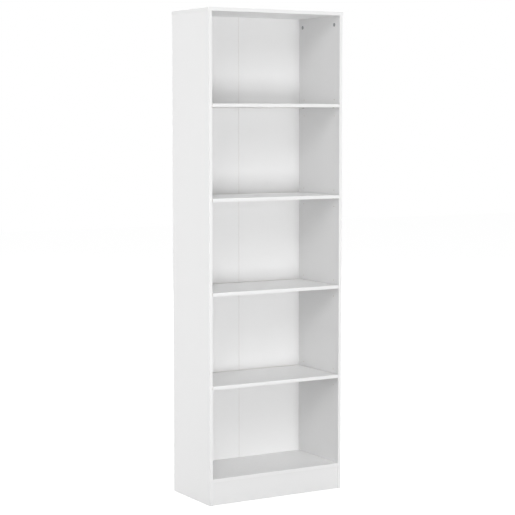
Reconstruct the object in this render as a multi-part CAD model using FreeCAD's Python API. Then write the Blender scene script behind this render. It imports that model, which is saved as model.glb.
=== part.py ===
import FreeCAD, Part
import os

# Tall narrow bookcase: two sides, an overlapping top, a bottom panel over a front plinth, a thin folded
# back nailed on behind, and four loose shelves that rest on push-in pins.
#
# Frame: millimetres, +Z up, the open front faces -Y, and the origin is on the floor under the middle of
# the outline. Boards are melamine-faced chipboard, with a thin edge band glued to each visible edge.
# A node name ends in left for the -X side and in right for the +X side. Shelf 1 is the lowest.

# ---- driving dimensions -------------------------------------------------------------------------------

WIDTH = 600.0                # length of the top panel
DEPTH = 300.0                # front edges to the rear face of the back
HEIGHT = 1890.0

BOARD = 13.0                 # thickness of every chipboard panel
BACK_BOARD = 3.0             # hardboard back
EDGE_BAND = 0.4
BAND_CHAMFER = 0.25          # trimmed corner along the edge band

TOP_OVERHANG = 2.0           # of the top panel past each side's outer face
PLINTH_HEIGHT = 90.0         # floor to the underside of the bottom panel
PLINTH_RECESS = 3.0          # plinth face behind the front edges
PLINTH_FLOOR_GAP = 1.0

SHELF_COUNT = 4
SHELF_END_GAP = 1.0          # between a shelf's end and the side panel
SHELF_REAR_GAP = 5.0         # between a shelf's rear edge and the back

HOLE_PITCH = 32.0            # between the pin holes of one column
HOLE_ROWS = (-1, 0, 1)       # each shelf has the hole in use, one below it and one above it
PIN_FROM_FRONT = 37.0        # front column of pin holes
PIN_COLUMN_SPACING = 224.0   # front column to rear column
PIN_HOLE_RADIUS = 1.5
PIN_HOLE_DEPTH = 9.0

PIN_RADIUS = 1.45
PIN_LENGTH = 16.0
PIN_IN_SIDE = 8.0            # the rest stands out of the side and carries the shelf
PIN_CHAMFER = 0.4

CAM_RADIUS = 7.45
CAM_DEPTH = 10.0
CAM_FACE = 2.6               # solid metal under the slotted face
CAM_CHAMBER_RADIUS = 5.6
CAM_SLOT_WIDTH = 4.6
CAM_CROSS_LENGTH = 9.0
CAM_CROSS_WIDTH = 1.5
CAM_CROSS_DEPTH = 1.4
CAM_FROM_EDGE = 34.0         # cam axis to the edge of its board
CAM_SLOT_LENGTH = 8.5        # neck slot from the cam's axis out through its rim
FITTING_FROM_FRONT = (40.0, 273.0)
DOWEL_FROM_FRONT = (72.0, 241.0)

BOLT_HEAD_RADIUS = 3.5
BOLT_HEAD_START = -1.0       # along the bolt, from the cam's axis
BOLT_NECK_START = 3.5
BOLT_NECK_RADIUS = 2.0
BOLT_SHANK_START = 8.0
BOLT_SHANK_RADIUS = 3.5
BOLT_THREAD_RADIUS = 2.5
BOLT_THREAD_LENGTH = 8.5

DOWEL_RADIUS = 3.95
DOWEL_SHORT_END = 9.0        # in the face of the board across the joint
DOWEL_LONG_END = 19.0        # in the edge of the board that it locates
DOWEL_CHAMFER = 0.8

FIT_CLEARANCE = 0.05         # on the radius of every bore that holds a fitting
POCKET_CLEARANCE = 0.3       # past the end of every fitting in its bore

PLINTH_CAM_HEIGHT = 34.0
PLINTH_DOWEL_HEIGHT = 66.0
PLINTH_TOP_DOWEL_X = 150.0

BACK_SIDE_INSET = 2.0        # back's outline inside the sides' outer faces
BACK_TOP_INSET = 2.0
BACK_BOTTOM_INSET = 2.0      # above the bottom panel's underside
FOLD_GAP = 0.4               # between the two leaves of the back
FOLD_CHAMFER = 0.3
TAPE_WIDTH = 38.0
TAPE_THICKNESS = 0.2

NAIL_LENGTH = 20.0
NAIL_RADIUS = 0.8
NAIL_HEAD_RADIUS = 1.9
NAIL_HEAD_THICKNESS = 0.6
NAILS_PER_SIDE = 10
NAIL_END_DISTANCE = 60.0     # first and last nail of a side from the back's ends
NAIL_X_ON_PANELS = (-230.0, -80.0, 80.0, 230.0)

# ---- derived positions --------------------------------------------------------------------------------

FRONT = -DEPTH / 2
CORE_FRONT = FRONT + EDGE_BAND
BOARD_REAR = DEPTH / 2 - BACK_BOARD
REAR = DEPTH / 2

SIDE_OUTER = WIDTH / 2 - TOP_OVERHANG
SIDE_INNER = SIDE_OUTER - BOARD
SIDE_MIDDLE = SIDE_OUTER - BOARD / 2
SIDE_TOP = HEIGHT - BOARD

BOTTOM_UNDERSIDE = PLINTH_HEIGHT
BOTTOM_MIDDLE = PLINTH_HEIGHT + BOARD / 2
BOTTOM_TOP = PLINTH_HEIGHT + BOARD
CLEAR_HEIGHT = (SIDE_TOP - BOTTOM_TOP - SHELF_COUNT * BOARD) / (SHELF_COUNT + 1)
SHELF_UNDERSIDES = [BOTTOM_TOP + n * CLEAR_HEIGHT + (n - 1) * BOARD for n in range(1, SHELF_COUNT + 1)]

PIN_Y = {"front": FRONT + PIN_FROM_FRONT, "rear": FRONT + PIN_FROM_FRONT + PIN_COLUMN_SPACING}
FITTING_Y = [FRONT + distance for distance in FITTING_FROM_FRONT]
DOWEL_Y = [FRONT + distance for distance in DOWEL_FROM_FRONT]

PLINTH_FACE = FRONT + PLINTH_RECESS
PLINTH_REAR = PLINTH_FACE + BOARD
PLINTH_MIDDLE = PLINTH_FACE + BOARD / 2

BACK_HALF_WIDTH = SIDE_OUTER - BACK_SIDE_INSET
BACK_BOTTOM = BOTTOM_UNDERSIDE + BACK_BOTTOM_INSET
BACK_TOP = HEIGHT - BACK_TOP_INSET

X = FreeCAD.Vector(1, 0, 0)
Y = FreeCAD.Vector(0, 1, 0)
Z = FreeCAD.Vector(0, 0, 1)
SIDES = {"left": -1, "right": 1}


# ---- helpers ------------------------------------------------------------------------------------------

def box(low, high):
    """Block between two corners."""
    size = [top - bottom for bottom, top in zip(low, high)]
    return Part.makeBox(*size, FreeCAD.Vector(*low))


def rod(radius, start, direction, length):
    """Cylinder from a point along a unit direction."""
    return Part.makeCylinder(radius, length, start, direction)


def chamfered_rod(radius, start, direction, length, chamfer):
    """Cylinder with both ends chamfered."""
    middle = rod(radius, start + direction * chamfer, direction, length - 2 * chamfer)
    near = Part.makeCone(radius - chamfer, radius, chamfer, start, direction)
    far = Part.makeCone(radius, radius - chamfer, chamfer, start + direction * (length - chamfer), direction)
    return middle.fuse([near, far]).removeSplitter()


def prism(points, extrusion):
    """Closed polygon, extruded."""
    corners = [FreeCAD.Vector(*place) for place in points]
    return Part.Face(Part.makePolygon(corners + corners[:1])).extrude(extrusion)


def save(node, solids):
    """Write one node. Several solids make a group."""
    shape = solids[0] if len(solids) == 1 else Part.makeCompound(solids)
    shape.exportStep(f"parts/{node}.step")


def point(x, y, z):
    return FreeCAD.Vector(x, y, z)


# ---- fittings -----------------------------------------------------------------------------------------

def cam_fitting(face_point, into_board, along_bolt):
    """A cam in the face of one board and the bolt that it pulls on.

    face_point is the cam's centre on the face, into_board points into the cam's board, and along_bolt
    points from the cam to the board across the joint. Returns the cam, the bolt, and the bores for them
    in the cam's board and in the board across the joint.
    """
    across = into_board.cross(along_bolt)
    bolt_axis = face_point + into_board * (BOARD / 2)
    chamber_height = CAM_DEPTH - CAM_FACE

    def bar(length, width, depth_from, depth_to, direction, start=None):
        """Block of a length along one direction, between two depths under the face."""
        sideways = into_board.cross(direction)
        origin = face_point + direction * (-length / 2 if start is None else start)
        corners = [origin + sideways * side * width / 2 + into_board * depth_from for side in (-1, 1)]
        corners += [corner + direction * length for corner in reversed(corners)]
        return prism([tuple(corner) for corner in corners], into_board * (depth_to - depth_from))

    cam = rod(CAM_RADIUS, face_point, into_board, CAM_DEPTH)
    chamber = rod(CAM_CHAMBER_RADIUS, face_point + into_board * CAM_FACE, into_board, chamber_height)
    neck_slot = bar(CAM_SLOT_LENGTH, CAM_SLOT_WIDTH, BOARD / 2 - CAM_SLOT_WIDTH / 2, CAM_DEPTH, along_bolt, 0)
    cross = [bar(CAM_CROSS_LENGTH, CAM_CROSS_WIDTH, 0, CAM_CROSS_DEPTH, arm) for arm in (along_bolt, across)]
    cam = cam.cut([chamber, neck_slot] + cross)

    def bolt_stage(radius, start, end):
        return rod(radius, bolt_axis + along_bolt * start, along_bolt, end - start)

    thread_end = CAM_FROM_EDGE + BOLT_THREAD_LENGTH
    head = bolt_stage(BOLT_HEAD_RADIUS, BOLT_HEAD_START, BOLT_NECK_START)
    neck = bolt_stage(BOLT_NECK_RADIUS, BOLT_NECK_START, BOLT_SHANK_START)
    shank = bolt_stage(BOLT_SHANK_RADIUS, BOLT_SHANK_START, CAM_FROM_EDGE)
    thread = bolt_stage(BOLT_THREAD_RADIUS, CAM_FROM_EDGE, thread_end)
    bolt = head.fuse([neck, shank, thread])

    pocket = rod(CAM_RADIUS + FIT_CLEARANCE, face_point, into_board, CAM_DEPTH + POCKET_CLEARANCE)
    edge_bore = bolt_stage(BOLT_SHANK_RADIUS + FIT_CLEARANCE, 0, CAM_FROM_EDGE)
    thread_bore = bolt_stage(BOLT_THREAD_RADIUS + FIT_CLEARANCE, CAM_FROM_EDGE, thread_end + POCKET_CLEARANCE)
    return cam, bolt, [pocket, edge_bore], thread_bore


def dowel_fitting(joint_point, into_edge):
    """A dowel across a joint. into_edge points into the board that it locates by its edge."""
    length = DOWEL_SHORT_END + DOWEL_LONG_END
    dowel = chamfered_rod(DOWEL_RADIUS, joint_point - into_edge * DOWEL_SHORT_END, into_edge, length,
                          DOWEL_CHAMFER)
    bore_radius = DOWEL_RADIUS + FIT_CLEARANCE
    edge_bore = rod(bore_radius, joint_point, into_edge, DOWEL_LONG_END + POCKET_CLEARANCE)
    face_bore = rod(bore_radius, joint_point, into_edge * -1, DOWEL_SHORT_END + POCKET_CLEARANCE)
    return dowel, edge_bore, face_bore


def shelf_pin(sign, y, underside):
    """A plain steel pin, half of it in the side panel and half of it under the shelf."""
    outer_end = point(sign * (SIDE_INNER + PIN_IN_SIDE), y, underside - PIN_RADIUS)
    return chamfered_rod(PIN_RADIUS, outer_end, X * -sign, PIN_LENGTH, PIN_CHAMFER)


# ---- edge bands ---------------------------------------------------------------------------------------

def band_profile(low, high):
    """Section of an edge band that faces -Y, as (position across the edge, y) pairs."""
    return [(low, CORE_FRONT), (low, FRONT + BAND_CHAMFER), (low + BAND_CHAMFER, FRONT),
            (high - BAND_CHAMFER, FRONT), (high, FRONT + BAND_CHAMFER), (high, CORE_FRONT)]


def upright_band(low_x, high_x, height):
    """Band on the front edge of an upright board that stands on the floor."""
    return prism([(x, y, 0) for x, y in band_profile(low_x, high_x)], Z * height)


def level_band(half_length, low_z):
    """Band on the front edge of a level board."""
    section = band_profile(low_z, low_z + BOARD)
    return prism([(-half_length, y, z) for z, y in section], X * (2 * half_length))


def end_band(sign):
    """Band on an end of the top panel, butted against the back of the front band."""
    outer = sign * WIDTH / 2
    inner = outer - sign * EDGE_BAND
    trimmed = outer - sign * BAND_CHAMFER
    low, high = SIDE_TOP, HEIGHT
    section = [(inner, low), (trimmed, low), (outer, low + BAND_CHAMFER), (outer, high - BAND_CHAMFER),
               (trimmed, high), (inner, high)]
    return prism([(x, CORE_FRONT, z) for x, z in section], Y * (BOARD_REAR - CORE_FRONT))


# ---- the carcass's fittings and the bores that they need ----------------------------------------------

side_bores = {"left": [], "right": []}
top_bores = []
bottom_bores = []
plinth_bores = []
top_cams, top_bolts, top_dowels = [], [], []
bottom_cams, bottom_bolts, bottom_dowels = [], [], []
plinth_cams, plinth_bolts, plinth_dowels = [], [], []

for side, sign in SIDES.items():
    outwards = X * sign

    # Top on the sides: cams in the sides' inner faces, bolts up into the top panel.
    for y in FITTING_Y:
        cam, bolt, own_bores, far_bore = cam_fitting(
            point(sign * SIDE_INNER, y, SIDE_TOP - CAM_FROM_EDGE), outwards, Z)
        top_cams.append(cam)
        top_bolts.append(bolt)
        side_bores[side] += own_bores
        top_bores.append(far_bore)
    for y in DOWEL_Y:
        dowel, edge_bore, face_bore = dowel_fitting(point(sign * SIDE_MIDDLE, y, SIDE_TOP), Z * -1)
        top_dowels.append(dowel)
        side_bores[side].append(edge_bore)
        top_bores.append(face_bore)

    # Bottom panel between the sides: cams under it, bolts out into the sides.
    for y in FITTING_Y:
        cam, bolt, own_bores, far_bore = cam_fitting(
            point(sign * (SIDE_INNER - CAM_FROM_EDGE), y, BOTTOM_UNDERSIDE), Z, outwards)
        bottom_cams.append(cam)
        bottom_bolts.append(bolt)
        bottom_bores += own_bores
        side_bores[side].append(far_bore)
    for y in DOWEL_Y:
        dowel, edge_bore, face_bore = dowel_fitting(point(sign * SIDE_INNER, y, BOTTOM_MIDDLE), outwards * -1)
        bottom_dowels.append(dowel)
        bottom_bores.append(edge_bore)
        side_bores[side].append(face_bore)

    # Plinth between the sides: a cam in its rear face and a dowel at each end.
    cam, bolt, own_bores, far_bore = cam_fitting(
        point(sign * (SIDE_INNER - CAM_FROM_EDGE), PLINTH_REAR, PLINTH_CAM_HEIGHT), Y * -1, outwards)
    plinth_cams.append(cam)
    plinth_bolts.append(bolt)
    plinth_bores += own_bores
    side_bores[side].append(far_bore)
    dowel, edge_bore, face_bore = dowel_fitting(
        point(sign * SIDE_INNER, PLINTH_MIDDLE, PLINTH_DOWEL_HEIGHT), outwards * -1)
    plinth_dowels.append(dowel)
    plinth_bores.append(edge_bore)
    side_bores[side].append(face_bore)

    # Dowels from the bottom panel's underside down into the plinth's top edge.
    dowel, edge_bore, face_bore = dowel_fitting(
        point(sign * PLINTH_TOP_DOWEL_X, PLINTH_MIDDLE, BOTTOM_UNDERSIDE), Z * -1)
    plinth_dowels.append(dowel)
    plinth_bores.append(edge_bore)
    bottom_bores.append(face_bore)

    # Columns of pin holes for the shelves.
    for underside in SHELF_UNDERSIDES:
        for row in HOLE_ROWS:
            for y in PIN_Y.values():
                hole_z = underside - PIN_RADIUS + row * HOLE_PITCH
                mouth = point(sign * SIDE_INNER, y, hole_z)
                side_bores[side].append(rod(PIN_HOLE_RADIUS, mouth, outwards, PIN_HOLE_DEPTH))

# ---- nails that hold the back -------------------------------------------------------------------------

nail_span = BACK_TOP - BACK_BOTTOM - 2 * NAIL_END_DISTANCE
side_nail_heights = [BACK_BOTTOM + NAIL_END_DISTANCE + nail_span * n / (NAILS_PER_SIDE - 1)
                     for n in range(NAILS_PER_SIDE)]
nail_places = {
    "left": [(-SIDE_MIDDLE, z) for z in side_nail_heights],
    "right": [(SIDE_MIDDLE, z) for z in side_nail_heights],
    "top": [(x, HEIGHT - BOARD / 2) for x in NAIL_X_ON_PANELS],
    "bottom": [(x, BOTTOM_MIDDLE) for x in NAIL_X_ON_PANELS],
}


def nail(x, z):
    """Flat-headed nail, its head flush with the rear face of the back."""
    head = rod(NAIL_HEAD_RADIUS, point(x, REAR, z), Y * -1, NAIL_HEAD_THICKNESS)
    return head.fuse(rod(NAIL_RADIUS, point(x, REAR, z), Y * -1, NAIL_LENGTH))


def nail_bore(x, z):
    """Bore for a nail through the back and into the board behind it."""
    return rod(NAIL_RADIUS + FIT_CLEARANCE, point(x, REAR, z), Y * -1, NAIL_LENGTH + POCKET_CLEARANCE)


def nail_head_seat(x, z):
    return rod(NAIL_HEAD_RADIUS + FIT_CLEARANCE, point(x, REAR, z), Y * -1, NAIL_HEAD_THICKNESS)


nails = [nail(x, z) for places in nail_places.values() for x, z in places]
for side in SIDES:
    side_bores[side] += [nail_bore(x, z) for x, z in nail_places[side]]
top_bores += [nail_bore(x, z) for x, z in nail_places["top"]]
bottom_bores += [nail_bore(x, z) for x, z in nail_places["bottom"]]


# ---- panels -------------------------------------------------------------------------------------------

def side_panel(side):
    low_x, high_x = sorted(SIDES[side] * x for x in (SIDE_INNER, SIDE_OUTER))
    return box((low_x, CORE_FRONT, 0), (high_x, BOARD_REAR, SIDE_TOP)).cut(side_bores[side])


def top_panel():
    half = WIDTH / 2 - EDGE_BAND
    return box((-half, CORE_FRONT, SIDE_TOP), (half, BOARD_REAR, HEIGHT)).cut(top_bores)


def bottom_panel():
    board = box((-SIDE_INNER, CORE_FRONT, BOTTOM_UNDERSIDE), (SIDE_INNER, BOARD_REAR, BOTTOM_TOP))
    return board.cut(bottom_bores)


def plinth_panel():
    board = box((-SIDE_INNER, PLINTH_FACE, PLINTH_FLOOR_GAP), (SIDE_INNER, PLINTH_REAR, BOTTOM_UNDERSIDE))
    return board.cut(plinth_bores)


def shelf_panel(underside):
    half = SIDE_INNER - SHELF_END_GAP
    return box((-half, CORE_FRONT, underside), (half, BOARD_REAR - SHELF_REAR_GAP, underside + BOARD))


def back_leaf(sign):
    """One leaf of the folded back: eased front edge at the fold, thinned behind for the hinge tape."""
    fold = sign * FOLD_GAP / 2
    eased = fold + sign * FOLD_CHAMFER
    tape_edge = sign * TAPE_WIDTH / 2
    outer = sign * BACK_HALF_WIDTH
    tape_seat = REAR - TAPE_THICKNESS
    section = [(eased, BOARD_REAR), (outer, BOARD_REAR), (outer, REAR), (tape_edge, REAR),
               (tape_edge, tape_seat), (fold, tape_seat), (fold, BOARD_REAR + FOLD_CHAMFER)]
    leaf = prism([(x, y, BACK_BOTTOM) for x, y in section], Z * (BACK_TOP - BACK_BOTTOM))
    places = [place for group in nail_places.values() for place in group if place[0] * sign > 0]
    return leaf.cut([nail_bore(x, z) for x, z in places] + [nail_head_seat(x, z) for x, z in places])


def hinge_tape():
    half = TAPE_WIDTH / 2
    return box((-half, REAR - TAPE_THICKNESS, BACK_BOTTOM), (half, REAR, BACK_TOP))


# ---- output -------------------------------------------------------------------------------------------

os.makedirs("parts", exist_ok=True)

for side, sign in SIDES.items():
    low_x, high_x = sorted(sign * x for x in (SIDE_INNER, SIDE_OUTER))
    save(f"side_panel_{side}", [side_panel(side)])
    save(f"side_edge_band_{side}", [upright_band(low_x, high_x, SIDE_TOP)])
    save(f"top_edge_band_{side}", [end_band(sign)])
    save(f"back_panel_{side}", [back_leaf(sign)])

save("top_panel", [top_panel()])
save("top_edge_band_front", [level_band(WIDTH / 2, SIDE_TOP)])
save("bottom_panel", [bottom_panel()])
save("bottom_edge_band", [level_band(SIDE_INNER, BOTTOM_UNDERSIDE)])
save("plinth_panel", [plinth_panel()])

for number, underside in enumerate(SHELF_UNDERSIDES, start=1):
    save(f"shelf_panel_{number}", [shelf_panel(underside)])
    save(f"shelf_edge_band_{number}", [level_band(SIDE_INNER - SHELF_END_GAP, underside)])
    for side, sign in SIDES.items():
        for place, y in PIN_Y.items():
            save(f"shelf_pin_{number}_{side}_{place}", [shelf_pin(sign, y, underside)])

save("top_cams", top_cams)
save("top_cam_bolts", top_bolts)
save("top_dowels", top_dowels)
save("bottom_cams", bottom_cams)
save("bottom_cam_bolts", bottom_bolts)
save("bottom_dowels", bottom_dowels)
save("plinth_cams", plinth_cams)
save("plinth_cam_bolts", plinth_bolts)
save("plinth_dowels", plinth_dowels)
save("back_hinge_tape", [hinge_tape()])
save("back_nails", nails)
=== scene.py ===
import math

import bmesh
import bpy
from mathutils import Matrix, Vector


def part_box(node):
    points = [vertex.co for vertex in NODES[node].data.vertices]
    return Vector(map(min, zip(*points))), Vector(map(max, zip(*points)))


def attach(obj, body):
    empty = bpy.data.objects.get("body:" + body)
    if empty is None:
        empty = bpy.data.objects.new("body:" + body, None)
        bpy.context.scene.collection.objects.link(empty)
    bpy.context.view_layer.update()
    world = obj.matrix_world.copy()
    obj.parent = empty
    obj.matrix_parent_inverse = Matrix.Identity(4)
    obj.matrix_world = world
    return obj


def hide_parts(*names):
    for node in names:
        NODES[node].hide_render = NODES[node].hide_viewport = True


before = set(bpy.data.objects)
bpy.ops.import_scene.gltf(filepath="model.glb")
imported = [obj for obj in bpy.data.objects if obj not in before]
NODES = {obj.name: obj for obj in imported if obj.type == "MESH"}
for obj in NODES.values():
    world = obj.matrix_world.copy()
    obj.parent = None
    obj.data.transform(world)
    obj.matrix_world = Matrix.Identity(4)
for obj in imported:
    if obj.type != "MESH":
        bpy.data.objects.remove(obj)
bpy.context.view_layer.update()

# A tall white bookcase: melamine-faced chipboard with edge bands, a thin folded back, loose shelves on
# metal pins, and the fittings that hold the carcass together. Metres, +Z up, and the open front faces -Y.
# Every node keeps its own shape, except the dowels and the cam bolts, which turned pieces stand for. The
# finishes are procedural: they follow where a point lies and which way its surface faces.

# ---- colours (linear) ---------------------------------------------------------------------------------

MELAMINE = (0.86, 0.86, 0.86)
MELAMINE_DULL = (0.84, 0.84, 0.84)
# The plinth's white is darker than the other melamine. This is painted shade for its recess under the
# bottom panel and the dimmer light near the floor.
PLINTH_PAINTED_SHADE = (0.83, 0.83, 0.83)
PLINTH_PAINTED_SHADE_DULL = (0.81, 0.81, 0.81)
BAND = (0.86, 0.86, 0.86)
BAND_DULL = (0.84, 0.84, 0.84)
LACQUER = (0.86, 0.86, 0.86)
LACQUER_DULL = (0.84, 0.84, 0.84)
CHIP_DARK = (0.20, 0.12, 0.06)
CHIP_MIDDLE = (0.42, 0.28, 0.16)
CHIP_PALE = (0.64, 0.48, 0.30)
HARDBOARD_DARK = (0.17, 0.09, 0.045)
HARDBOARD_PALE = (0.31, 0.185, 0.10)
TAPE = (0.62, 0.585, 0.50)
TAPE_DARK = (0.52, 0.48, 0.40)
ZINC = (0.50, 0.51, 0.52)
ZINC_DARK = (0.30, 0.305, 0.31)
PLATED = (0.60, 0.60, 0.57)
PLATED_WARM = (0.58, 0.53, 0.42)
NICKEL = (0.68, 0.66, 0.62)
NICKEL_DULL = (0.57, 0.55, 0.51)
STEEL = (0.46, 0.46, 0.47)
STEEL_DARK = (0.27, 0.27, 0.28)
BEECH_PALE = (0.60, 0.43, 0.27)
BEECH_DARK = (0.43, 0.28, 0.16)


# ---- node graphs --------------------------------------------------------------------------------------

GRAIN_LOW = 0.3                 # most of a noise lies between these two
GRAIN_HIGH = 0.7


class Finish:
    """A material under construction: one Principled shader and short calls for the nodes that feed it."""

    def __init__(self, name):
        self.material = bpy.data.materials.new(name)
        self.material.use_nodes = True
        self.tree = self.material.node_tree
        self.tree.nodes.clear()
        self.shader = self.tree.nodes.new("ShaderNodeBsdfPrincipled")
        output = self.tree.nodes.new("ShaderNodeOutputMaterial")
        self.tree.links.new(self.shader.outputs["BSDF"], output.inputs["Surface"])
        coordinates = self.tree.nodes.new("ShaderNodeTexCoord")
        self.place = coordinates.outputs["Object"]
        self.normal = coordinates.outputs["Normal"]

    def feed(self, socket, value):
        """Give a socket a node's output, a colour or a number."""
        if isinstance(value, bpy.types.NodeSocket):
            self.tree.links.new(value, socket)
        elif socket.type == "RGBA":
            socket.default_value = (*value, 1.0)
        else:
            socket.default_value = value

    def node(self, kind, inputs, **settings):
        """A new node with its inputs fed and its settings set."""
        made = self.tree.nodes.new("ShaderNode" + kind)
        for name, value in settings.items():
            setattr(made, name, value)
        for key, value in inputs.items():
            self.feed(made.inputs[key], value)
        return made

    def math(self, operation, first, second=0.0):
        return self.node("Math", {0: first, 1: second}, operation=operation).outputs[0]

    def outside(self, mask, height):
        """A height where a mask is 0, and nothing where it is 1."""
        return self.math("MULTIPLY", height, self.math("SUBTRACT", 1.0, mask))

    def axis(self, vector, axis):
        """One of a vector's three numbers."""
        return self.node("SeparateXYZ", {0: vector}).outputs[axis]

    def scaled(self, scale):
        """The place, stretched by a factor along each axis."""
        return self.node("Mapping", {"Vector": self.place, "Scale": scale}).outputs[0]

    def noise(self, size, detail=2.0, roughness=0.5, stretch=(1, 1, 1)):
        """Noise from 0 to 1, with features of about this size. A stretch over 1 shortens them that way."""
        inputs = {
            "Vector": self.scaled(stretch),
            "Scale": 1 / size,
            "Detail": detail,
            "Roughness": roughness,
        }
        return self.node("TexNoise", inputs).outputs["Fac"]

    def cells(self, size, stretch=(1, 1, 1), feature="F1", output="Distance"):
        """Cells of about this size: the distance to each one's middle, or its own random colour."""
        inputs = {"Vector": self.scaled(stretch), "Scale": 1 / size}
        return self.node("TexVoronoi", inputs, feature=feature).outputs[output]

    def ramp(self, factor, *stops):
        """Colours or greys along a factor, as (position, colour) stops."""
        made = self.node("ValToRGB", {0: factor})
        elements = made.color_ramp.elements
        while len(elements) < len(stops):
            elements.new(0.5)
        for element, (position, colour) in zip(elements, stops):
            element.position = position
            element.color = (*colour, 1.0) if isinstance(colour, tuple) else (colour, colour, colour, 1.0)
        return made.outputs[0]

    def swing(self, grain, ends, low=GRAIN_LOW):
        """A number that goes from the first end to the second as a grain rises."""
        return self.ramp(grain, (low, ends[0]), (GRAIN_HIGH, ends[1]))

    def mix(self, factor, first, second):
        """A colour between two others. Inputs 6 and 7 and output 2 of a Mix node are its colours."""
        return self.node("Mix", {0: factor, 6: first, 7: second}, data_type="RGBA").outputs[2]

    def tint(self, colour, other, grain, share):
        """A colour that turns towards another with a grain, as far as the share allows."""
        return self.mix(self.math("MULTIPLY", grain, share), colour, other)

    def blend(self, factor, first, second):
        """A number between two others."""
        return self.node("Mix", {0: factor, 2: first, 3: second}).outputs[0]

    def bump(self, height, depth, below=None):
        """Relief of this depth in metres, on top of another bump."""
        inputs = {"Height": height, "Strength": 1.0, "Distance": depth}
        if below is not None:
            inputs["Normal"] = below
        return self.node("Bump", inputs).outputs[0]

    def finish(self, colour, roughness, normal=None, metallic=0.0, specular=0.5):
        self.feed(self.shader.inputs["Base Color"], colour)
        self.feed(self.shader.inputs["Roughness"], roughness)
        if normal is not None:
            self.feed(self.shader.inputs["Normal"], normal)
        self.shader.inputs["Metallic"].default_value = metallic
        self.shader.inputs["Specular IOR Level"].default_value = specular
        return self.material


def along(axis, value, rest=1.0):
    """Three factors, with one axis set apart."""
    return tuple(value if index == axis else rest for index in range(3))


# ---- finishes -----------------------------------------------------------------------------------------
# Each finish has its grain sizes and relief depths in metres just above it. A pair of roughnesses is what
# a grain swings between.

FLAKE = 0.0022                  # chipboard particle
FLAKE_FLATNESS = 3.0            # particles lie flat in the board
FLAKE_MIDDLE = 0.35             # where the middle colour lies between the dark and the pale one
FLAKE_HEIGHT = 0.5              # of a flake, where that of the fibres is 1
CHIP_FIBRE = 0.0007
CHIP_FIBRE_SHADE = 0.35
CHIP_DEPTH = 0.0003
CHIP_ROUGHNESS = 0.85


def chipboard(finish, thickness_axis):
    """Colour and relief of raw particle board: flakes of several colours that lie flat, and fibres."""
    flat = along(thickness_axis, FLAKE_FLATNESS)
    flake = finish.axis(finish.cells(FLAKE, flat, output="Color"), 0)
    colour = finish.ramp(flake, (0.0, CHIP_DARK), (FLAKE_MIDDLE, CHIP_MIDDLE), (1.0, CHIP_PALE))
    fibres = finish.noise(CHIP_FIBRE, detail=3.0, roughness=0.6, stretch=flat)
    colour = finish.tint(colour, CHIP_DARK, fibres, CHIP_FIBRE_SHADE)
    return colour, finish.math("ADD", finish.math("MULTIPLY", flake, FLAKE_HEIGHT), fibres)


SKIN = 0.0003                   # this near to a board's outer plane it is melamine, and deeper chipboard
FACE_TURN = 0.5                 # least part of a face's normal that lies along the thickness
MELAMINE_CLOUD = 0.11
SPECKLE = 0.0016
PEBBLE = 0.0011                 # pressed texture of the melamine
PEBBLE_DEPTH = 0.00006
PRESS_WAVE = 0.012
PRESS_WAVE_DEPTH = 0.00002
MELAMINE_ROUGHNESS = (0.36, 0.46)


def board_finish(node, thickness_axis, pale=MELAMINE, dull=MELAMINE_DULL):
    """Melamine on a board's two faces, and raw chipboard on its cut edges and in its bores."""
    finish = Finish(f"melamine_board_{node}")
    low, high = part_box(node)
    middle = (low[thickness_axis] + high[thickness_axis]) / 2
    half = (high[thickness_axis] - low[thickness_axis]) / 2
    across = finish.axis(finish.place, thickness_axis)
    from_middle = finish.math("ABSOLUTE", finish.math("SUBTRACT", across, middle))
    outermost = finish.math("GREATER_THAN", from_middle, half - SKIN)
    turned = finish.math("ABSOLUTE", finish.axis(finish.normal, thickness_axis))
    facing = finish.math("GREATER_THAN", turned, FACE_TURN)
    faced = finish.math("MULTIPLY", outermost, facing)

    clouds = finish.noise(MELAMINE_CLOUD, detail=3.0)
    speckle = finish.noise(SPECKLE, roughness=0.6)
    white = finish.tint(pale, dull, clouds, speckle)
    raw, grit = chipboard(finish, thickness_axis)

    pebble = finish.cells(PEBBLE, feature="SMOOTH_F1")
    relief = finish.bump(finish.noise(PRESS_WAVE), PRESS_WAVE_DEPTH)
    relief = finish.bump(finish.math("MULTIPLY", pebble, faced), PEBBLE_DEPTH, relief)
    relief = finish.bump(finish.outside(faced, grit), CHIP_DEPTH, relief)

    roughness = finish.blend(faced, CHIP_ROUGHNESS, finish.swing(speckle, MELAMINE_ROUGHNESS))
    return finish.finish(finish.mix(faced, raw, white), roughness, relief)


TRIM_LINE = 0.0006
TRIM_STRETCH = 0.01             # along the band, so that the lines are long
BAND_PEBBLE = 0.0009
BAND_DEPTH = 0.00004
BAND_ROUGHNESS = (0.3, 0.4)


def band_finish(name, length_axis):
    """White edging strip with faint lines along it from the trimming."""
    finish = Finish(f"edge_band_{name}")
    lines = finish.noise(TRIM_LINE, roughness=0.6, stretch=along(length_axis, TRIM_STRETCH))
    pebble = finish.noise(BAND_PEBBLE)
    relief = finish.bump(lines, BAND_DEPTH)
    relief = finish.bump(pebble, BAND_DEPTH, relief)
    return finish.finish(finish.mix(lines, BAND, BAND_DULL), finish.swing(pebble, BAND_ROUGHNESS), relief)


FRONT_TURN = -0.3               # a normal's Y is below this on the lacquered face
LACQUER_CLOUD = 0.16
ROLLER = 0.0012                 # marks of the roller that laid the lacquer on
ROLLER_STRETCH = (1, 1, 0.12)
ROLLER_DEPTH = 0.00003
LACQUER_ROUGHNESS = (0.42, 0.52)
WARP = 0.09
WARP_DEPTH = 0.0004
HARD_FIBRE = 0.0014
HARD_FIBRE_STRETCH = (1, 1, 0.35)
HARD_FIBRE_DEPTH = 0.00015
FLECK = 0.0032
FLECK_STRETCH = (1, 1, 0.4)
FLECK_SHADE = 0.3
BLOTCH = 0.25
BLOTCH_SHADE = 0.35
HARDBOARD_ROUGHNESS = 0.72


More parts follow.
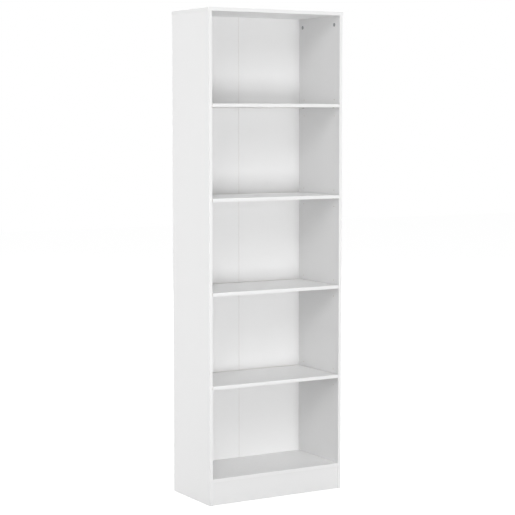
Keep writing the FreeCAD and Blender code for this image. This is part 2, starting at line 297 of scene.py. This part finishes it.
def back_finish():
    """Hardboard: white lacquer towards the front, and raw brown fibre on the rear face and the edges."""
    finish = Finish("back_board")
    front = finish.math("LESS_THAN", finish.axis(finish.normal, 1), FRONT_TURN)
    clouds = finish.noise(LACQUER_CLOUD, detail=3.0)
    roller = finish.noise(ROLLER, roughness=0.6, stretch=ROLLER_STRETCH)
    white = finish.tint(LACQUER, LACQUER_DULL, clouds, roller)

    fibres = finish.noise(HARD_FIBRE, detail=5.0, roughness=0.7, stretch=HARD_FIBRE_STRETCH)
    flecks = finish.axis(finish.cells(FLECK, FLECK_STRETCH, output="Color"), 0)
    blotches = finish.noise(BLOTCH, detail=3.0)
    brown = finish.mix(fibres, HARDBOARD_DARK, HARDBOARD_PALE)
    brown = finish.tint(brown, CHIP_MIDDLE, flecks, FLECK_SHADE)
    brown = finish.tint(brown, HARDBOARD_DARK, blotches, BLOTCH_SHADE)

    relief = finish.bump(finish.noise(WARP), WARP_DEPTH)
    relief = finish.bump(roller, ROLLER_DEPTH, relief)
    relief = finish.bump(finish.outside(front, fibres), HARD_FIBRE_DEPTH, relief)

    roughness = finish.blend(front, HARDBOARD_ROUGHNESS, finish.swing(roller, LACQUER_ROUGHNESS))
    return finish.finish(finish.mix(front, brown, white), roughness, relief)


TAPE_FIBRE = 0.001
TAPE_FIBRE_STRETCH = (1, 1, 0.3)
TAPE_FIBRE_DEPTH = 0.00008
CREASE = 0.02
CREASE_STRETCH = (0.4, 1, 2.5)
CREASE_DEPTH = 0.0003
TAPE_ROUGHNESS = 0.78


def tape_finish():
    """Paper tape with pressed-in fibres and slight creases across it."""
    finish = Finish("hinge_tape")
    fibres = finish.noise(TAPE_FIBRE, detail=4.0, roughness=0.7, stretch=TAPE_FIBRE_STRETCH)
    relief = finish.bump(finish.noise(CREASE, stretch=CREASE_STRETCH), CREASE_DEPTH)
    relief = finish.bump(fibres, TAPE_FIBRE_DEPTH, relief)
    return finish.finish(finish.mix(fibres, TAPE_DARK, TAPE), TAPE_ROUGHNESS, relief)


ZINC_GRAIN = 0.0005
ZINC_CELL = 0.0018
ZINC_DEPTH = 0.00004
ZINC_ROUGHNESS = (0.4, 0.58)


def zinc_finish():
    """Die-cast zinc: a fine grain, darker where its cells meet."""
    finish = Finish("zinc")
    grain = finish.noise(ZINC_GRAIN, detail=3.0, roughness=0.65)
    colour = finish.tint(ZINC, ZINC_DARK, grain, finish.cells(ZINC_CELL))
    relief = finish.bump(grain, ZINC_DEPTH)
    return finish.finish(colour, finish.swing(grain, ZINC_ROUGHNESS), relief, metallic=1.0)


PLATED_CLOUD = 0.006
PLATED_GRAIN = 0.0004
PLATED_DEPTH = 0.00002
PLATED_ROUGHNESS = (0.25, 0.4)


def plated_finish():
    """Zinc-plated steel with the uneven tint of its passivation."""
    finish = Finish("plated_steel")
    grain = finish.noise(PLATED_GRAIN)
    colour = finish.mix(finish.noise(PLATED_CLOUD), PLATED, PLATED_WARM)
    relief = finish.bump(grain, PLATED_DEPTH)
    return finish.finish(colour, finish.swing(grain, PLATED_ROUGHNESS), relief, metallic=1.0)


TUMBLING_MARK = 0.0008
TUMBLING_STRETCH = (0.3, 1, 1)
TUMBLING_DEPTH = 0.00002
TUMBLING_LOW = 0.35             # the marks stay at their smoothest up to here
NICKEL_ROUGHNESS = (0.16, 0.3)


def nickel_finish():
    """Nickel-plated shelf pins with light tumbling marks."""
    finish = Finish("nickel_steel")
    marks = finish.noise(TUMBLING_MARK, detail=3.0, roughness=0.6, stretch=TUMBLING_STRETCH)
    colour = finish.mix(marks, NICKEL, NICKEL_DULL)
    roughness = finish.swing(marks, NICKEL_ROUGHNESS, TUMBLING_LOW)
    return finish.finish(colour, roughness, finish.bump(marks, TUMBLING_DEPTH), metallic=1.0)


WAFFLE_SCALE = 420.0            # of the Wave Texture node: ridges about 0.75 mm apart
WAFFLE_DEPTH = 0.0001
NAIL_WEAR = 0.0015
NAIL_WEAR_SHADE = 0.7
NAIL_ROUGHNESS = (0.3, 0.5)


def nail_finish():
    """Bright steel with the waffle pattern that is struck into a nail's head."""
    finish = Finish("nail_steel")
    inputs = {"Vector": finish.place, "Scale": WAFFLE_SCALE}
    bands = [finish.node("TexWave", inputs, bands_direction=way).outputs["Fac"] for way in "XZ"]
    wear = finish.noise(NAIL_WEAR, detail=3.0, roughness=0.6)
    colour = finish.tint(STEEL, STEEL_DARK, wear, NAIL_WEAR_SHADE)
    relief = finish.bump(finish.math("MULTIPLY", *bands), WAFFLE_DEPTH)
    return finish.finish(colour, finish.swing(wear, NAIL_ROUGHNESS), relief, metallic=1.0)


BEECH_GRAIN = 0.0012
BEECH_GRAIN_STRETCH = 0.08      # along the dowel
BEECH_GRAIN_DEPTH = 0.0001
BEECH_RAY = 0.0004
BEECH_RAY_STRETCH = 0.25
BEECH_RAY_SHADE = 0.3
BEECH_ROUGHNESS = 0.7


def beech_finish(name, length_axis):
    """Raw beech with its grain along the dowel."""
    finish = Finish(f"beech_{name}")
    grain_stretch = along(length_axis, BEECH_GRAIN_STRETCH)
    grain = finish.noise(BEECH_GRAIN, detail=4.0, roughness=0.6, stretch=grain_stretch)
    rays = finish.noise(BEECH_RAY, stretch=along(length_axis, BEECH_RAY_STRETCH))
    colour = finish.mix(grain, BEECH_PALE, BEECH_DARK)
    colour = finish.tint(colour, BEECH_DARK, rays, BEECH_RAY_SHADE)
    return finish.finish(colour, BEECH_ROUGHNESS, finish.bump(grain, BEECH_GRAIN_DEPTH))


# ---- which node wears what ----------------------------------------------------------------------------

def assign(node, material):
    mesh = NODES[node].data
    mesh.materials.clear()
    mesh.materials.append(material)


def thinnest_axis(node):
    low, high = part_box(node)
    return min(range(3), key=lambda axis: high[axis] - low[axis])


def longest_axis(node):
    low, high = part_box(node)
    return max(range(3), key=lambda axis: high[axis] - low[axis])


def dress_nodes():
    back, tape, zinc, plated, nickel, nail = (make() for make in (
        back_finish, tape_finish, zinc_finish, plated_finish, nickel_finish, nail_finish))
    for node in sorted(NODES):
        if node.startswith("back_panel"):
            assign(node, back)
        elif node == "plinth_panel":
            # the plinth's darker white is painted shade, not a different board
            assign(node, board_finish(node, thinnest_axis(node), PLINTH_PAINTED_SHADE, PLINTH_PAINTED_SHADE_DULL))
        elif "panel" in node:
            assign(node, board_finish(node, thinnest_axis(node)))
        elif "edge_band" in node:
            assign(node, band_finish(node, longest_axis(node)))
        elif node.endswith("tape"):
            assign(node, tape)
        elif node.endswith("_cams"):
            assign(node, zinc)
        elif node.endswith("_bolts"):
            assign(node, plated)
        elif node.startswith("shelf_pin"):
            assign(node, nickel)
        elif node.endswith("_nails"):
            assign(node, nail)
        elif node.endswith("_dowels"):
            upright = node.startswith("top")
            assign(node, beech_finish(node, 2 if upright else 0))


# ---- turned fittings ----------------------------------------------------------------------------------

DOWEL_FLUTES = 18
FLUTE_STEPS = 6             # points around each flute
FLUTE_DEPTH = 0.00035
DOWEL_TIP = 0.0016          # rounded stretch at each end
DOWEL_TIP_INSET = 0.0008    # how much less the radius is at the very end
DOWEL_TIP_STEPS = 5

BOLT_STEPS = 40             # points around a bolt
BOLT_HEAD = 0.0045          # where the head ends, along the bolt from its end in the cam
BOLT_NECK = 0.0090          # where the neck ends
BOLT_SHANK = 0.0350         # where the shank ends and the thread starts
NECK_RADIUS = 0.0020
THREAD_RADIUS = 0.0025
THREAD_CORE = 0.0018
THREAD_PITCH = 0.0021
THREAD_RINGS = 12           # rings in each turn of the thread
THREAD_RIDGE = 0.5          # a ridge's part of the pitch
THREAD_TIP = 0.0016         # tapered stretch at the end
THREAD_TIP_CORE = 0.6       # the core's radius at the very end, as a part of its full radius
EASE = 0.0003               # rounding at a turned edge

SAME_PLACE = 0.000001       # points of a mesh nearer than this are one point
SHARP = math.radians(35)    # edges that turn more than this are shaded as edges


def solids_of(node):
    """The box of every separate solid in a CAD node, as (lowest, highest) corners."""
    shape = bmesh.new()
    shape.from_mesh(NODES[node].data)
    bmesh.ops.remove_doubles(shape, verts=shape.verts, dist=SAME_PLACE)
    waiting = set(shape.verts)
    boxes = []
    while waiting:
        queue = [waiting.pop()]
        places = []
        while queue:
            vertex = queue.pop()
            places.append(vertex.co.copy())
            for edge in vertex.link_edges:
                other = edge.other_vert(vertex)
                if other in waiting:
                    waiting.remove(other)
                    queue.append(other)
        boxes.append((Vector(map(min, *places)), Vector(map(max, *places))))
    shape.free()
    return sorted(boxes, key=lambda corners: tuple(corners[0]))


def dowel_rings(length, radius):
    """Rings of a fluted dowel with rounded ends, as (distance along it, radii around it)."""
    count = DOWEL_FLUTES * FLUTE_STEPS
    tip = [DOWEL_TIP * step / DOWEL_TIP_STEPS for step in range(DOWEL_TIP_STEPS + 1)]
    flutes = [0.5 - 0.5 * math.cos(math.tau * step / FLUTE_STEPS) for step in range(count)]
    rings = []
    for distance in tip + [length - step for step in reversed(tip)]:
        inside = min(distance, length - distance) / DOWEL_TIP
        rounded = radius - DOWEL_TIP_INSET * (1 - math.sqrt(1 - (1 - inside) ** 2))
        rings.append((distance, [rounded - FLUTE_DEPTH * inside * flute for flute in flutes]))
    return rings


def bolt_rings(length, radius):
    """Rings of a cam bolt: round head, thin neck, shank, and a coarse thread that tapers to its tip."""
    stages = [(0, radius - 3 * EASE), (EASE, radius - EASE), (3 * EASE, radius),
              (BOLT_HEAD - EASE, radius), (BOLT_HEAD, radius - EASE), (BOLT_HEAD + EASE, NECK_RADIUS),
              (BOLT_NECK - EASE, NECK_RADIUS), (BOLT_NECK, radius - EASE), (BOLT_NECK + EASE, radius),
              (BOLT_SHANK - 2 * EASE, radius), (BOLT_SHANK - EASE, radius - EASE)]
    rings = [(distance, [size] * BOLT_STEPS) for distance, size in stages]
    thread = length - BOLT_SHANK
    count = round(thread / THREAD_PITCH * THREAD_RINGS)
    for step in range(count + 1):
        distance = thread * step / count
        tip = min(1.0, (thread - distance) / THREAD_TIP)
        core = THREAD_CORE * (THREAD_TIP_CORE + (1 - THREAD_TIP_CORE) * tip)
        crest = (THREAD_RADIUS - THREAD_CORE) * min(tip, distance / THREAD_PITCH, 1.0)
        radii = []
        for around in range(BOLT_STEPS):
            phase = (distance / THREAD_PITCH - around / BOLT_STEPS) % 1.0
            radii.append(core + crest * max(0.0, 1 - abs(phase - 0.5) * 2 / THREAD_RIDGE))
        rings.append((BOLT_SHANK + distance, radii))
    return rings


def skin(shape, rings, start, axis):
    """Close a stack of rings into one solid about an axis."""
    side = Vector((0, 0, 1)) if abs(axis.z) < 0.5 else Vector((1, 0, 0))
    across = axis.cross(side)
    previous = None
    for distance, radii in rings:
        count = len(radii)
        ring = []
        for step, radius in enumerate(radii):
            turn = math.tau * step / count
            outwards = side * math.cos(turn) + across * math.sin(turn)
            ring.append(shape.verts.new(start + axis * distance + outwards * radius))
        if previous is None:
            shape.faces.new(reversed(ring))
        else:
            for step in range(count):
                after = (step + 1) % count
                shape.faces.new((previous[step], previous[after], ring[after], ring[step]))
        previous = ring
    shape.faces.new(previous)


def turned_piece(node, ring_maker, material):
    """One piece in the place of a node's solids, each turned about its long axis.

    A lying solid starts at its end towards the middle of the bookcase, and an upright one at its foot.
    """
    shape = bmesh.new()
    for low, high in solids_of(node):
        size = high - low
        middle = (low + high) / 2
        long_axis = max(range(3), key=lambda index: size[index])
        direction = -1.0 if long_axis == 0 and middle.x < 0 else 1.0
        axis = Vector(along(long_axis, direction, 0.0))
        radius = min(size) / 2
        skin(shape, ring_maker(size[long_axis], radius), middle - axis * size[long_axis] / 2, axis)
    bmesh.ops.recalc_face_normals(shape, faces=shape.faces)
    mesh = bpy.data.meshes.new(f"turned_{node}")
    shape.to_mesh(mesh)
    shape.free()
    mesh.materials.append(material)
    mesh.shade_smooth()
    mesh.set_sharp_from_angle(angle=SHARP)
    piece = bpy.data.objects.new(f"turned_{node}", mesh)
    bpy.context.scene.collection.objects.link(piece)
    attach(piece, "carcass")
    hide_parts(node)


def make_turned_fittings():
    for node in sorted(NODES):
        material = NODES[node].data.materials[0]
        if node.endswith("_bolts"):
            turned_piece(node, bolt_rings, material)
        elif node.endswith("_dowels"):
            turned_piece(node, dowel_rings, material)


# ---- studio -------------------------------------------------------------------------------------------

FLOOR_HALF = 14.0
FLOOR_WHITE = (0.42, 0.42, 0.42)
FLOOR_ROUGHNESS = 0.9
FLOOR_GLOW = 0.86                   # seen directly, and not thrown on the bookcase
BACKDROP_WHITE = 1.0                # world as it is seen directly
ROOM_LIGHT = 0.30                   # world as it lights the bookcase

LIGHTS = {
    # name: (place, edge of the square, watts)
    "low_front_softbox": ((0.0, -4.2, 0.45), 1.2, 74.0),
    "front_softbox": ((0.6, -4.5, 1.3), 1.4, 14.0),
    "steep_front_softbox": ((0.0, -4.6, 6.6), 3.0, 85.0),
    "high_left_softbox": ((-4.0, -5.5, 5.2), 3.0, 122.0),
    "left_softbox": ((-4.2, -1.2, 1.3), 1.5, 21.0),
    "left_rear_softbox": ((-7.0, 3.6, 1.6), 3.0, 285.0),
    "right_softbox": ((6.5, 2.6, 2.6), 3.0, 190.0),
    "rear_softbox": ((1.2, 5.0, 5.2), 3.0, 260.0),
}
AIM = (0.0, 0.0, 1.0)               # near the middle of the bookcase


def seen_directly(tree):
    """1 where a ray comes straight from a camera, and 0 for light on its way between surfaces."""
    return tree.nodes.new("ShaderNodeLightPath").outputs["Is Camera Ray"]


def make_floor():
    """Pale studio floor with a glow that only the camera sees, to match the white background."""
    mesh = bpy.data.meshes.new("studio_floor")
    corners = [(x * FLOOR_HALF, y * FLOOR_HALF, 0) for x, y in ((-1, -1), (1, -1), (1, 1), (-1, 1))]
    mesh.from_pydata(corners, [], [(0, 1, 2, 3)])
    floor = bpy.data.objects.new("studio_floor", mesh)
    bpy.context.scene.collection.objects.link(floor)
    finish = Finish("studio_floor")
    material = finish.finish(FLOOR_WHITE, FLOOR_ROUGHNESS, specular=0.0)
    finish.shader.inputs["Emission Color"].default_value = (1, 1, 1, 1)
    glow = finish.math("MULTIPLY", seen_directly(finish.tree), FLOOR_GLOW)
    finish.feed(finish.shader.inputs["Emission Strength"], glow)
    mesh.materials.append(material)


def make_world():
    world = bpy.data.worlds.new("studio")
    bpy.context.scene.world = world
    world.use_nodes = True
    tree = world.node_tree
    strength = tree.nodes.new("ShaderNodeMapRange")
    strength.inputs["To Min"].default_value = ROOM_LIGHT
    strength.inputs["To Max"].default_value = BACKDROP_WHITE
    tree.links.new(seen_directly(tree), strength.inputs["Value"])
    background = tree.nodes["Background"]
    background.inputs["Color"].default_value = (1, 1, 1, 1)
    tree.links.new(strength.outputs["Result"], background.inputs["Strength"])


def make_lights():
    for name, (place, edge, watts) in LIGHTS.items():
        data = bpy.data.lights.new(name, "AREA")
        data.shape = "SQUARE"
        data.size = edge
        data.energy = watts
        lamp = bpy.data.objects.new(name, data)
        lamp.location = place
        lamp.rotation_euler = (Vector(AIM) - Vector(place)).to_track_quat("-Z", "Y").to_euler()
        bpy.context.scene.collection.objects.link(lamp)


# ---- camera -------------------------------------------------------------------------------------------

CAMERA_PLACE = (-3.132, -5.326, 1.475)
CAMERA_TURN = math.radians(30.46)       # to the right of straight ahead
CAMERA_TILT = math.radians(4.67)        # downwards
CAMERA_LENS = 109.9
CAMERA_SENSOR = 36.0
CAMERA_SHIFT = -0.02                    # lowers the view by this part of its width, which saves some tilt
CAMERA_REACH = 100.0                    # nothing further away is rendered


def make_camera():
    data = bpy.data.cameras.new("camera")
    data.sensor_width = CAMERA_SENSOR
    data.lens = CAMERA_LENS
    data.shift_y = CAMERA_SHIFT
    data.clip_end = CAMERA_REACH
    camera = bpy.data.objects.new("camera", data)
    forward = Vector((math.sin(CAMERA_TURN) * math.cos(CAMERA_TILT),
                      math.cos(CAMERA_TURN) * math.cos(CAMERA_TILT),
                      -math.sin(CAMERA_TILT)))
    right = Vector((math.cos(CAMERA_TURN), -math.sin(CAMERA_TURN), 0))
    turn = Matrix((right, right.cross(forward), -forward)).transposed()
    camera.matrix_world = Matrix.Translation(CAMERA_PLACE) @ turn.to_4x4()
    bpy.context.scene.collection.objects.link(camera)
    bpy.context.scene.camera = camera


dress_nodes()
make_turned_fittings()
make_floor()
make_world()
make_lights()
make_camera()
bpy.context.scene.view_settings.view_transform = "Standard"
